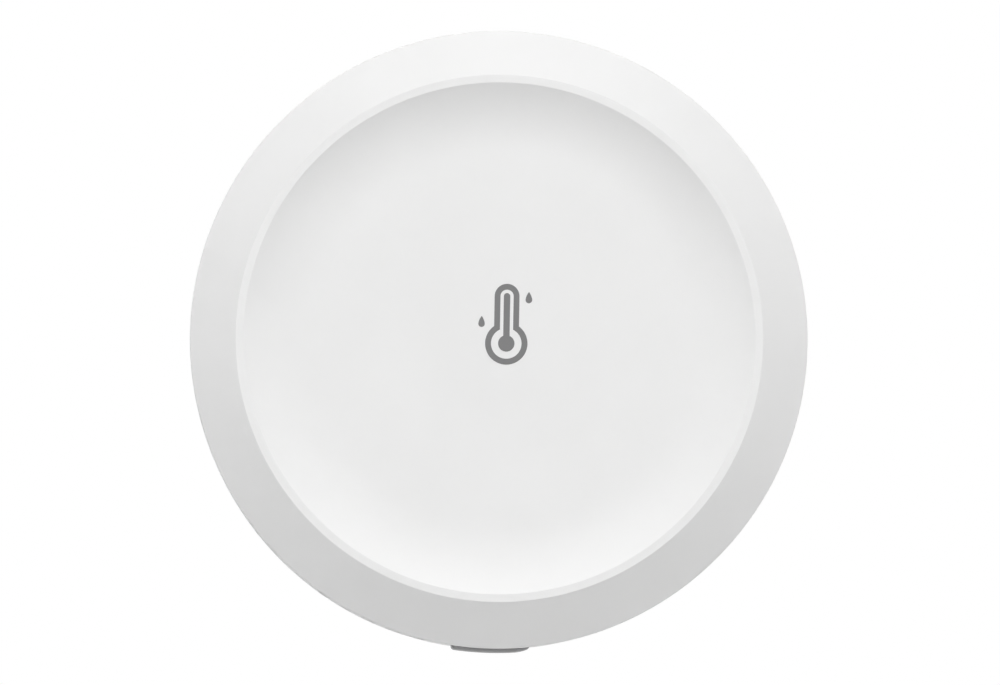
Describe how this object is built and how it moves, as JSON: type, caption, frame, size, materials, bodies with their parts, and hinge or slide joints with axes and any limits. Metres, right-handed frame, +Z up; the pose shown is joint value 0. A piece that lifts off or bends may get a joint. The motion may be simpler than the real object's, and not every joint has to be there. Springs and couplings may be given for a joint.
{
  "type": "indoor temperature and humidity sensor",
  "caption": "Round white wall sensor for room temperature and humidity: dished face in a conical ring, side pairing key, twist-off wall plate, coin cell and board inside.",
  "frame": {"origin": "centre of the adhesive pad's back face, on the wall plane", "axes": "+Y into the wall, -Y the way the face looks, +Z up, the key at the bottom"},
  "size_m": [0.04, 0.0145, 0.0402],
  "materials": {
    "adhesive_pad": "closed-cell foam tape",
    "rear_cover": "fine matt moulded white",
    "front_cover": "fine matt moulded white",
    "rear_housing": "fine matt moulded white",
    "main_board": "solder mask",
    "board_screws": "zinc plated",
    "radio_module_board": "solder mask",
    "radio_shield": "tin plated sheet",
    "radio_chip": "moulded epoxy",
    "clock_crystal": "plated can",
    "bulk_capacitor": "moulded epoxy",
    "chip_capacitors": "ceramic with tinned ends",
    "chip_resistors": "ceramic with tinned ends",
    "sensor_chip": "moulded epoxy",
    "status_light": "clear resin",
    "switch_frame": "moulded",
    "switch_shell": "stamped sheet",
    "switch_dome": "spring sheet",
    "negative_contact": "nickel plated spring bronze",
    "positive_contact": "nickel plated spring bronze",
    "cell_can": "nickel plated steel",
    "cell_cap": "nickel plated steel",
    "cell_gasket": "sealing ring",
    "pairing_key": "fine matt moulded grey",
    "switch_plunger": "moulded"
  },
  "bodies": {
    "wall_plate": {"adhesive_pad": "adhesive_pad", "rear_cover": "rear_cover"},
    "head": {"front_cover": "front_cover", "rear_housing": "rear_housing", "main_board": "main_board", "board_screws": "board_screws", "radio_module_board": "radio_module_board", "radio_shield": "radio_shield", "radio_chip": "radio_chip", "clock_crystal": "clock_crystal", "bulk_capacitor": "bulk_capacitor", "chip_capacitors": "chip_capacitors", "chip_resistors": "chip_resistors", "sensor_chip": "sensor_chip", "status_light": "status_light", "switch_frame": "switch_frame", "switch_shell": "switch_shell", "switch_dome": "switch_dome", "negative_contact": "negative_contact", "positive_contact": "positive_contact", "cell_can": "cell_can", "cell_cap": "cell_cap", "cell_gasket": "cell_gasket"},
    "key": {"pairing_key": "pairing_key"},
    "plunger": {"switch_plunger": "switch_plunger"}
  },
  "joints": [
    {"name": "head_twist", "type": "hinge", "parent": "wall_plate", "child": "head", "pos_m": [0, 0, 0], "axis": [0, -1, 0], "range_deg": [0, 20]},
    {"name": "key_press", "type": "slide", "parent": "head", "child": "key", "axis": [0, 0, 1], "range_m": [0, 0.0003], "stiffness_N_per_m": 2000},
    {"name": "plunger_press", "type": "slide", "parent": "head", "child": "plunger", "axis": [0, 0, 1], "range_m": [0, 0.0003]}
  ],
  "couplings": [
    {"joint": "plunger_press", "follows": "key_press", "ratio": 1}
  ]
}
